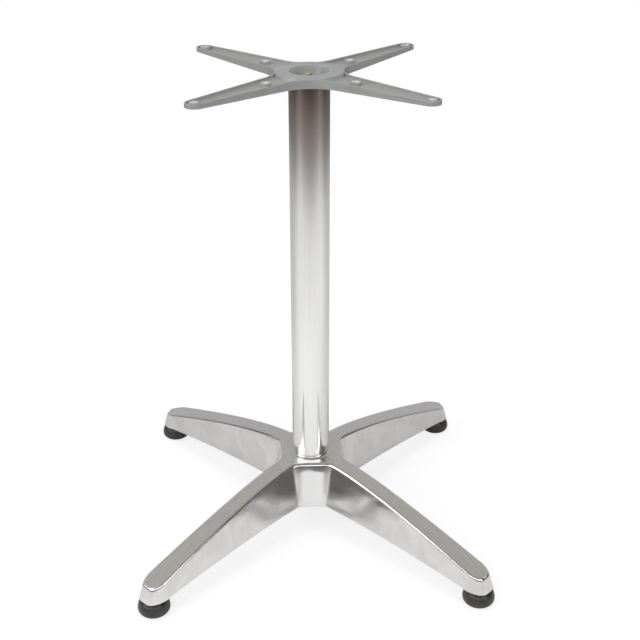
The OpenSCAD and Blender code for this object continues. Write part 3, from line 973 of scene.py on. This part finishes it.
# %% Group: brushed grain
brushed, given, result = new_group(
    "brushed_grain",
    [("Lines", FLOAT, 900.0), ("Length", FLOAT, 14.0), ("Slant", FLOAT, 0.0), ("Contrast", FLOAT, 1.0)],
    [("Grain", FLOAT)])
turned = add_node(brushed, "ShaderNodeVectorRotate", {"Vector": object_place(brushed), "Angle": HALF_TURN},
                  rotation_type="Z_AXIS")
parts = split(brushed, turned.outputs["Vector"])
size_x = maths(brushed, "ABSOLUTE", parts["X"])
size_y = maths(brushed, "ABSOLUTE", parts["Y"])
along = maths(brushed, "MAXIMUM", size_x, size_y)
side = maths(brushed, "SIGN", maths(brushed, "MULTIPLY", parts["X"], parts["Y"]))
across = maths(brushed, "MULTIPLY", maths(brushed, "MINIMUM", size_x, size_y), side)
slanted = maths(brushed, "MULTIPLY_ADD", along, given["Slant"], across)
grain_place = add_node(brushed, "ShaderNodeCombineXYZ", {
    "X": maths(brushed, "MULTIPLY", along, given["Length"]),
    "Y": maths(brushed, "MULTIPLY", slanted, given["Lines"]),
    "Z": maths(brushed, "MULTIPLY", parts["Z"], given["Length"])}).outputs[0]
grain = noise(brushed, grain_place, 1.0, 4.0)
centred = maths(brushed, "SUBTRACT", grain, 0.5)
brushed.links.new(maths(brushed, "MULTIPLY_ADD", centred, given["Contrast"], 0.5), result["Grain"])
print("group:", brushed.name)

# %% [markdown]
# ### Cloudy shade
# Hand polishing, paint and plating are never quite even. This group mixes two colours by a soft
# noise that is pulled out of shape by its own distortion, which looks less regular than a plain
# noise. It also hands out the mask, so that the gloss can change with the colour.

# %% Group: cloudy shade
cloudy, given, result = new_group(
    "cloudy_shade",
    [("Scale", FLOAT, 30.0), ("Warp", FLOAT, 0.4), ("Softness", FLOAT, 0.2),
     ("Light", COLOR, (1, 1, 1, 1)), ("Dark", COLOR, (0.7, 0.7, 0.7, 1))],
    [("Color", COLOR), ("Mask", FLOAT)])
soft = noise(cloudy, object_place(cloudy), given["Scale"], 3.0, given["Warp"])
low_side = maths(cloudy, "SUBTRACT", 0.5, given["Softness"])
high_side = maths(cloudy, "ADD", 0.5, given["Softness"])
mask = remap(cloudy, soft, low_side, high_side)
cloudy.links.new(mix_colors(cloudy, mask, given["Dark"], given["Light"]), result["Color"])
cloudy.links.new(mask, result["Mask"])
print("group:", cloudy.name)

# %% [markdown]
# ### Fine pores
# Paint and moulded plastic both have a skin of very small bumps. A group turns a fine noise into
# a normal, and each finish says how fine it is; all keep the group's own depth.

# %% Group: fine pores
pores, given, result = new_group(
    "fine_pores", [("Scale", FLOAT, 900.0), ("Depth", FLOAT, 0.0001)], [("Normal", "NodeSocketVector")])
skin = noise(pores, object_place(pores), given["Scale"])
pores.links.new(bump(pores, skin, 0.3, given["Depth"]), result["Normal"])
print("group:", pores.name)

# %% [markdown]
# ## Finish of the cast foot
# Bare aluminium is fully metallic, so what one sees on it is its surroundings, tinted by its
# colour. The top faces were ground with a belt: fine lines and a dull sheen. The sides were
# polished by hand: glossier, with soft cloudy patches. The direction that a face points in says
# which of the two it is, so one material serves the whole casting.

# %% Cast aluminium: grain, clouds and masks
TOP_FROM_Z, TOP_FULL_Z = 0.62, 0.86
PANEL_HALF_W, WALL_FROM = 0.012, 0.022
tree = materials["cast_aluminium"].node_tree
fine = use_group(tree, brushed, {"Lines": 1000.0, "Length": 45.0, "Slant": 0.15, "Contrast": 2.0})["Grain"]
broad = use_group(tree, brushed, {"Lines": 260.0, "Length": 14.0, "Slant": 0.1, "Contrast": 1.4})["Grain"]
clouds = use_group(tree, cloudy, {
    "Scale": 30.0, "Warp": 0.7, "Softness": 0.2,
    "Light": (0.81, 0.805, 0.795, 1), "Dark": (0.72, 0.71, 0.695, 1)})
normal = add_node(tree, "ShaderNodeNewGeometry").outputs["Normal"]
on_top = remap(tree, split(tree, normal)["Z"], TOP_FROM_Z, TOP_FULL_Z)
place = object_place(tree)
parts = split(tree, place)
beside = maths(tree, "MINIMUM", maths(tree, "ABSOLUTE", parts["X"]), maths(tree, "ABSOLUTE", parts["Y"]))
off_panel = remap(tree, beside, PANEL_HALF_W, WALL_FROM)
print("masks: top faces, and walls beside the hub's panels")

# %% [markdown]
# ### Colour and gloss of the foot
# The top gets the colour of its lines and a dull gloss. The walls get the clouds, and under them
# a trace of the same lines. The four flat panels at the hub are polished more evenly, so they
# are plain and a little paler.

# %% Cast aluminium: colour and gloss
LINE_COLORS = ((0.66, 0.655, 0.62, 1), (1.0, 0.995, 0.97, 1))
TOP_VEIL = (0.78, 0.77, 0.76, 1)
WALL_LINE = (0.6, 0.59, 0.58, 1)
PANEL_COLOR = (0.87, 0.87, 0.865, 1)
BROAD_SHARE = 0.5
WALL_LINE_SHARE = 0.25
TOP_GLOSS = 0.33
SIDE_GLOSS = (0.2, 0.13)
lines = mix_colors(tree, fine, *LINE_COLORS)
top_color = mix_colors(tree, maths(tree, "MULTIPLY", broad, BROAD_SHARE), lines, TOP_VEIL)
wall_lines = maths(tree, "MULTIPLY", fine, WALL_LINE_SHARE)
wall_color = mix_colors(tree, wall_lines, clouds["Color"], WALL_LINE)
side_color = mix_colors(tree, off_panel, PANEL_COLOR, wall_color)
color = mix_colors(tree, on_top, side_color, top_color)
gloss = remap(tree, on_top, 0.0, 1.0, remap(tree, clouds["Mask"], 0.0, 1.0, *SIDE_GLOSS), TOP_GLOSS)
print("gloss of top and walls:", TOP_GLOSS, SIDE_GLOSS)

# %% [markdown]
# ### A lean in the light
# Near the hub the real walls lean back a little more than these do, and the polish rounds the top
# of the panels. To move the points would change the outline. So only the normal leans: the
# mirrored room shifts, and the shape stays. The top faces get the bump of their lines instead.

# %% Cast aluminium: lean and finish
HUB_LEAN = 0.075
HUB_LEAN_FROM, HUB_LEAN_FULL = 0.17, 0.1
CROWN_LEAN = 0.13
CROWN_LEAN_FROM, CROWN_LEAN_FULL = 0.1, 0.112
CROWN_WAVE = 0.008
near_hub = remap(tree, axis_distance(tree, place), HUB_LEAN_FROM, HUB_LEAN_FULL)
near_hub = maths(tree, "MULTIPLY", near_hub, off_panel)
wave = maths(tree, "SUBTRACT", clouds["Mask"], 0.5)
crown_edge = maths(tree, "MULTIPLY_ADD", wave, CROWN_WAVE, parts["Z"])
near_crown = maths(tree, "MULTIPLY", maths(tree, "SUBTRACT", 1.0, off_panel),
                   remap(tree, crown_edge, CROWN_LEAN_FROM, CROWN_LEAN_FULL))
lean = maths(tree, "MULTIPLY_ADD", near_hub, HUB_LEAN, maths(tree, "MULTIPLY", near_crown, CROWN_LEAN))
side_lean = maths(tree, "MULTIPLY", lean, maths(tree, "SUBTRACT", 1.0, on_top))
upward = add_node(tree, "ShaderNodeCombineXYZ", {"Z": side_lean}).outputs[0]
leaning = vectors(tree, "NORMALIZE", vectors(tree, "ADD", normal, upward))
line_height = maths(tree, "MULTIPLY", fine, on_top)
finish_material("cast_aluminium", {
    "Base Color": color, "Metallic": 1.0, "Roughness": gloss,
    "Normal": bump(tree, line_height, 0.3, 0.0002, Normal=leaning)})
foot.data.materials.clear()
foot.data.materials.append(materials["cast_aluminium"])

# %% [markdown]
# ## Finish of the column
# The tube was drawn through a die and then polished, which leaves long faint lines from end to
# end. Noise that is squeezed round the tube and stretched along it gives them, in the colour and
# in a very shallow bump.

# %% Material: polished tube
DRAWN_SCALE = (700.0, 700.0, 3.0)
TUBE_COLORS = ((0.84, 0.838, 0.832, 1), (0.95, 0.95, 0.945, 1))
tree = materials["tube_aluminium"].node_tree
squeezed = add_node(tree, "ShaderNodeMapping", {"Vector": object_place(tree), "Scale": DRAWN_SCALE})
drawn = noise(tree, squeezed.outputs[0], 1.0, 3.0)
finish_material("tube_aluminium", {
    "Base Color": mix_colors(tree, drawn, *TUBE_COLORS), "Metallic": 1.0, "Roughness": 0.09,
    "Normal": bump(tree, drawn, 0.08, 0.0001)})
column.data.materials.append(materials["tube_aluminium"])

# %% [markdown]
# ## Painted shade on the paint and on the pads
# On the real spider the channels' floors look warmer and a little darker, and its upright faces
# look darker, most of all inside the bowl. The top of a pad sits close under its leg, where no
# light comes. Lamps alone can't give these shades in every view, so masks from the height, the
# facing and the distance from the axis paint them into the colour: a warmer tint with a little
# painted shade on the channels' floors, painted shade on the upright faces and in the bowl, and a
# painted shadow on the pads' tops.


# %% Painted shade of paint and pad
# Colours and shares of the painted shade: a warmer, slightly darker tint on the channels' floors, and
# painted shade on upright faces, stronger in the bowl.
CHANNEL_SHADE_TINT = (0.36, 0.352, 0.318, 1)
UPRIGHT_SHADE_TINT = (0.2, 0.21, 0.205, 1)
CHANNEL_SHADE_SHARE = 0.8
UPRIGHT_SHADE_SHARE, BOWL_SHADE_SHARE = 0.12, 0.45
FLAT_FROM, FLAT_FULL = 0.3, 0.9
STEEP_FROM, STEEP_FULL = 0.85, 0.5
UNDER_FULL, UNDER_FROM = -0.3, 0.1
# The pads' tops get a painted shadow, nearly black, under their legs.
PAD_SHADOW_COLOR = (0.004, 0.004, 0.004, 1)
PAD_SHADE_H = 5 * MM
PAD_LIT_SHARE = 0.15


# Painted shade on the spider's paint: channel floors warmer and a little darker, upright faces darker,
# darkest inside the bowl.
def paint_painted_shade(tree, color):
    place = object_place(tree)
    height = split(tree, place)["Z"]
    facing = split(tree, add_node(tree, "ShaderNodeNewGeometry").outputs["Normal"])["Z"]
    sunk = remap(tree, height, ARM_TOP_Z - 0.4 * MM, FLOOR_Z + 0.5 * MM)
    in_channel = maths(tree, "MULTIPLY", sunk, remap(tree, facing, FLAT_FROM, FLAT_FULL))
    color = mix_colors(tree, maths(tree, "MULTIPLY", in_channel, CHANNEL_SHADE_SHARE), color, CHANNEL_SHADE_TINT)
    upright = maths(tree, "MULTIPLY", remap(tree, facing, STEEP_FROM, STEEP_FULL),
                    remap(tree, facing, UNDER_FULL, UNDER_FROM))
    shade = remap(tree, axis_distance(tree, place), BOWL_R + 0.5 * MM, BOWL_R - 0.5 * MM,
                  UPRIGHT_SHADE_SHARE, BOWL_SHADE_SHARE)
    return mix_colors(tree, maths(tree, "MULTIPLY", upright, shade), color, UPRIGHT_SHADE_TINT)


# Painted shadow on the top of a pad, close under its leg.
def pad_painted_shadow(tree, color):
    height = split(tree, object_place(tree))["Z"]
    lit = remap(tree, height, PAD_H - MM, PAD_H - PAD_SHADE_H, PAD_LIT_SHARE, 1.0)
    return mix_colors(tree, lit, PAD_SHADOW_COLOR, color)


PAINTED_SHADES = {"grey_paint": paint_painted_shade, "black_glide": pad_painted_shadow}
print("shades for:", ", ".join(PAINTED_SHADES))

# %% [markdown]
# ## Paint, plating and plastic
# The spider is powder coated in a satin grey, with a faint orange peel. Its screws' countersinks
# are bare where the drill cut through the paint. The nuts and washers are zinc plated, the rod is
# plated yellow, and the glides are moulded in black. All of them are the same two ideas: a
# cloudy colour and, for paint and plastic, fine pores. The paint and the pads also get the painted
# shade from above.

# %% Materials: paint, plating and plastic
FINISHES = {
    "grey_paint": ((0.365, 0.375, 0.365), (0.335, 0.345, 0.34), 40.0,
                   {"Roughness": 0.3, "Coat Weight": 0.25, "Coat Roughness": 0.12}),
    "bare_metal": ((0.95, 0.95, 0.94), (0.5, 0.49, 0.47), 420.0, {"Metallic": 0.4, "Roughness": 0.3}),
    "yellow_zinc": ((0.9, 0.84, 0.48), (0.62, 0.56, 0.3), 250.0, {"Metallic": 1.0, "Roughness": 0.3}),
    "bright_zinc": ((0.85, 0.86, 0.87), (0.68, 0.69, 0.71), 200.0, {"Metallic": 1.0, "Roughness": 0.28}),
    "black_glide": ((0.044, 0.042, 0.039), (0.028, 0.027, 0.025), 120.0, {"Roughness": 0.34}),
}
PORE_SCALES = {"grey_paint": 900.0, "black_glide": 1400.0}
for name, (light, dark, scale, shader_inputs) in FINISHES.items():
    tree = materials[name].node_tree
    color = use_group(tree, cloudy, {"Scale": scale, "Light": (*light, 1), "Dark": (*dark, 1)})["Color"]
    # The paint and the pads get their painted shade on top of the cloudy colour.
    if name in PAINTED_SHADES:
        color = PAINTED_SHADES[name](tree, color)
    shader_inputs["Base Color"] = color
    if name in PORE_SCALES:
        shader_inputs["Normal"] = use_group(tree, pores, {"Scale": PORE_SCALES[name]})["Normal"]
    finish_material(name, shader_inputs)
for node_name in ("top_washer", "top_nut", "bottom_washer", "bottom_nut"):
    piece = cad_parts[node_name]
    piece.data.materials.clear()
    piece.data.materials.append(materials["bright_zinc"])

# %% [markdown]
# ## Studio floor
# The floor is one large disc, wide enough to fill the picture and everything that the metal
# mirrors below the level of the eye. It is the stage, not a part of the object.

# %% Floor
FLOOR_R = 12
FLOOR_SIDES = 64
floor_points = turned_points([(FLOOR_R, 0)], (0, 0), FLOOR_SIDES)
floor = make_object("studio_floor", floor_points, [tuple(range(FLOOR_SIDES))])
floor.data.materials.append(materials["studio_floor"])
print("floor radius", FLOOR_R, "m")

# %% [markdown]
# ### The floor in the mirror
# A polished tube shows nothing but the room round it. Looking down at it, one sees the floor
# mirrored in it, further and further away towards its top. So for every ray but the camera's the
# white floor fades to a dark brown, two to three metres out, and the column gets its dark head.
# Two ramps do it: one says how the reach changes round the object, one gives the colours.

# %% Floor: what the metal mirrors
FLOOR_SPAN = 5.0
FRONT_REACH = [(0.0, 0.8), (0.5, 0.95), (0.785, 0.85), (1.0, 1.0)]
FLOOR_COLORS = [
    (0.8, (0.86, 0.855, 0.85)), (1.07, (0.785, 0.78, 0.775)), (1.2, (0.745, 0.74, 0.735)),
    (1.34, (0.655, 0.645, 0.64)), (1.5, (0.51, 0.49, 0.48)), (1.65, (0.38, 0.36, 0.35)),
    (1.86, (0.26, 0.232, 0.215)), (2.25, (0.16, 0.125, 0.108)), (2.59, (0.046, 0.028, 0.021)),
    (2.9, (0.046, 0.03, 0.023)), (3.6, (0.19, 0.18, 0.175)), (5.0, (0.32, 0.31, 0.305)),
]
# Painted shade on the floor: near the object it is darker behind than in front, as if lit from the front,
# and the far glow is weaker behind too.
NEAR_SHADE_COLORS = ((0.79, 0.785, 0.78, 1), (0.96, 0.96, 0.96, 1))
NEAR_R, FAR_R = 0.5, 0.85
FAR_SHADE_STRENGTHS = (0.68, 1.0)
tree = materials["studio_floor"].node_tree
place = object_place(tree)
spread = vectors(tree, "LENGTH", place, output="Value")
back_share = maths(tree, "DIVIDE", split(tree, place)["Y"], maths(tree, "MAXIMUM", spread, MM))
front_share = maths(tree, "MULTIPLY_ADD", back_share, -0.5, 0.5)
reach_share = color_ramp(tree, front_share, [(share, (value,) * 3) for share, value in FRONT_REACH])
reach = maths(tree, "MULTIPLY", spread, reach_share)
far_color = color_ramp(tree, maths(tree, "DIVIDE", reach, FLOOR_SPAN),
                       [(distance / FLOOR_SPAN, rgb) for distance, rgb in FLOOR_COLORS])
far_strength = remap(tree, front_share, 0.2, 0.75, *FAR_SHADE_STRENGTHS)
far_floor = add_node(tree, "ShaderNodeEmission", {"Color": far_color, "Strength": far_strength}).outputs[0]
near_color = mix_colors(tree, remap(tree, front_share, 0.25, 0.9), *NEAR_SHADE_COLORS)
near_floor = add_node(tree, "ShaderNodeBsdfDiffuse", {"Color": near_color}).outputs[0]
mirrored = mix_shaders(tree, remap(tree, spread, NEAR_R, FAR_R), near_floor, far_floor)
print("floor colours by distance:", len(FLOOR_COLORS))

# %% [markdown]
# ### The floor in the picture
# The camera sees the floor white, with the object's own soft shadow on it. A strength of 1 is
# white. Near the object a part of that glow gives way to a matt surface, which can take a shadow.
# From below the camera looks straight through, so that the hollow foot can be judged as well.

# %% Floor: what the camera sees
SHADOW_GREY = (0.32, 0.32, 0.32, 1)
SHADOW_GLOW = 0.76
SHADOW_R, WHITE_R = 0.45, 0.9
shadowed = add_node(tree, "ShaderNodeBsdfDiffuse", {"Color": SHADOW_GREY}).outputs[0]
glow = add_node(tree, "ShaderNodeEmission", {"Strength": SHADOW_GLOW}).outputs[0]
white = add_node(tree, "ShaderNodeEmission", {"Strength": 1.0}).outputs[0]
near_seen = add_node(tree, "ShaderNodeAddShader", {0: shadowed, 1: glow}).outputs[0]
seen = mix_shaders(tree, remap(tree, spread, SHADOW_R, WHITE_R), near_seen, white)
to_camera = add_node(tree, "ShaderNodeLightPath").outputs["Is Camera Ray"]
below = maths(tree, "MULTIPLY", to_camera, add_node(tree, "ShaderNodeNewGeometry").outputs["Backfacing"])
clear = add_node(tree, "ShaderNodeBsdfTransparent").outputs[0]
surface = mix_shaders(tree, below, mix_shaders(tree, to_camera, mirrored, seen), clear)
add_node(tree, "ShaderNodeOutputMaterial", {"Surface": surface})
print("finished material:", materials["studio_floor"].name)

# %% [markdown]
# ## The room round it
# Above the floor, the metal mirrors the room: a plain grey wall behind, and a darker side behind
# the camera, which draws the dark lines along the near edges of the legs. The camera itself sees
# white, and everything matt is lit by an even soft light.

# %% World
ROOM_LIGHT = (0.37, 0.37, 0.37, 1)
ALMOST_ONE = 1.0001
FRONT_FROM, FRONT_FULL = -0.45, -0.1
BACK_WALL = [(0.0, (0.49, 0.475, 0.52)), (1.0, (0.42, 0.415, 0.365))]
FRONT_WALL = [(0.0, (0.19, 0.185, 0.2)), (0.3, (0.12, 0.10, 0.09)),
              (0.85, (0.14, 0.12, 0.11)), (1.0, (0.44, 0.42, 0.39))]


def add_backdrop(tree, color):
    return add_node(tree, "ShaderNodeBackground", {"Color": color}).outputs[0]


world = bpy.data.worlds.new("studio")
bpy.context.scene.world = world
world.use_nodes = True
tree = world.node_tree
tree.nodes.clear()
parts = split(tree, add_node(tree, "ShaderNodeTexCoord").outputs["Generated"])
squared = maths(tree, "MULTIPLY", parts["Z"], parts["Z"])
level = maths(tree, "SQRT", maths(tree, "SUBTRACT", ALMOST_ONE, squared))
front = maths(tree, "MULTIPLY", maths(tree, "DIVIDE", parts["Y"], level), -1.0)
walls = [color_ramp(tree, parts["Z"], stops) for stops in (BACK_WALL, FRONT_WALL)]
room = add_backdrop(tree, mix_colors(tree, remap(tree, front, FRONT_FROM, FRONT_FULL), *walls))
rays = add_node(tree, "ShaderNodeLightPath").outputs
unseen = mix_shaders(tree, rays["Is Glossy Ray"], add_backdrop(tree, ROOM_LIGHT), room)
surface = mix_shaders(tree, rays["Is Camera Ray"], unseen, add_backdrop(tree, (1, 1, 1, 1)))
add_node(tree, "ShaderNodeOutputWorld", {"Surface": surface})
print("world:", world.name)

# %% [markdown]
# ## Lamps
# Large softboxes stand left, right and in front, and a fourth hangs above. The first three are
# what glints in the rounded edges. The one above only lights: the polished metal doesn't show it.


# %% Lamps
def add_lamp(name, position, target, size, power):
    light = bpy.data.lights.new(name, "AREA")
    light.shape = "RECTANGLE"
    light.size, light.size_y = size
    light.energy = power
    lamp = bpy.data.objects.new(name, light)
    lamp.location = position
    lamp.rotation_euler = (Vector(target) - Vector(position)).to_track_quat("-Z", "Y").to_euler()
    bpy.context.scene.collection.objects.link(lamp)
    return lamp


add_lamp("left_softbox", position=(-2.6, -1.1, 2.0), target=(0, -1.1, 0.2), size=(2.1, 2.4), power=35)
add_lamp("right_softbox", position=(2.6, -2.5, 2.0), target=(0, -2.5, 0.2), size=(0.9, 2.4), power=15)
add_lamp("front_softbox", position=(0, -2.8, 1.9), target=(0, 0, 0.1), size=(7.0, 0.9), power=46)
overhead = add_lamp("overhead_softbox", position=(0, 0, 4.0), target=(0, 0, 0), size=(2.0, 2.0), power=36)
overhead.visible_glossy = False

# %% [markdown]
# ## Camera
# The camera looks down at the base from the front. Its place and its lens were worked out from
# the object's own lines: where the column's edges meet and how fast the legs grow towards it.

# %% Camera
CAMERA_PLACE = (-53.5 * MM, -1499.1 * MM, 1098 * MM)
CAMERA_TURN = (63.32, 0, -2.6)
SENSOR_WIDTH = 36
LENS = 63.2
camera_data = bpy.data.cameras.new("camera")
camera_data.sensor_width = SENSOR_WIDTH
camera_data.lens = LENS
camera = bpy.data.objects.new("camera", camera_data)
camera.location = CAMERA_PLACE
camera.rotation_euler = [math.radians(angle) for angle in CAMERA_TURN]
bpy.context.scene.collection.objects.link(camera)
bpy.context.scene.camera = camera
bpy.context.scene.view_settings.view_transform = "Standard"
print("camera at", CAMERA_PLACE)
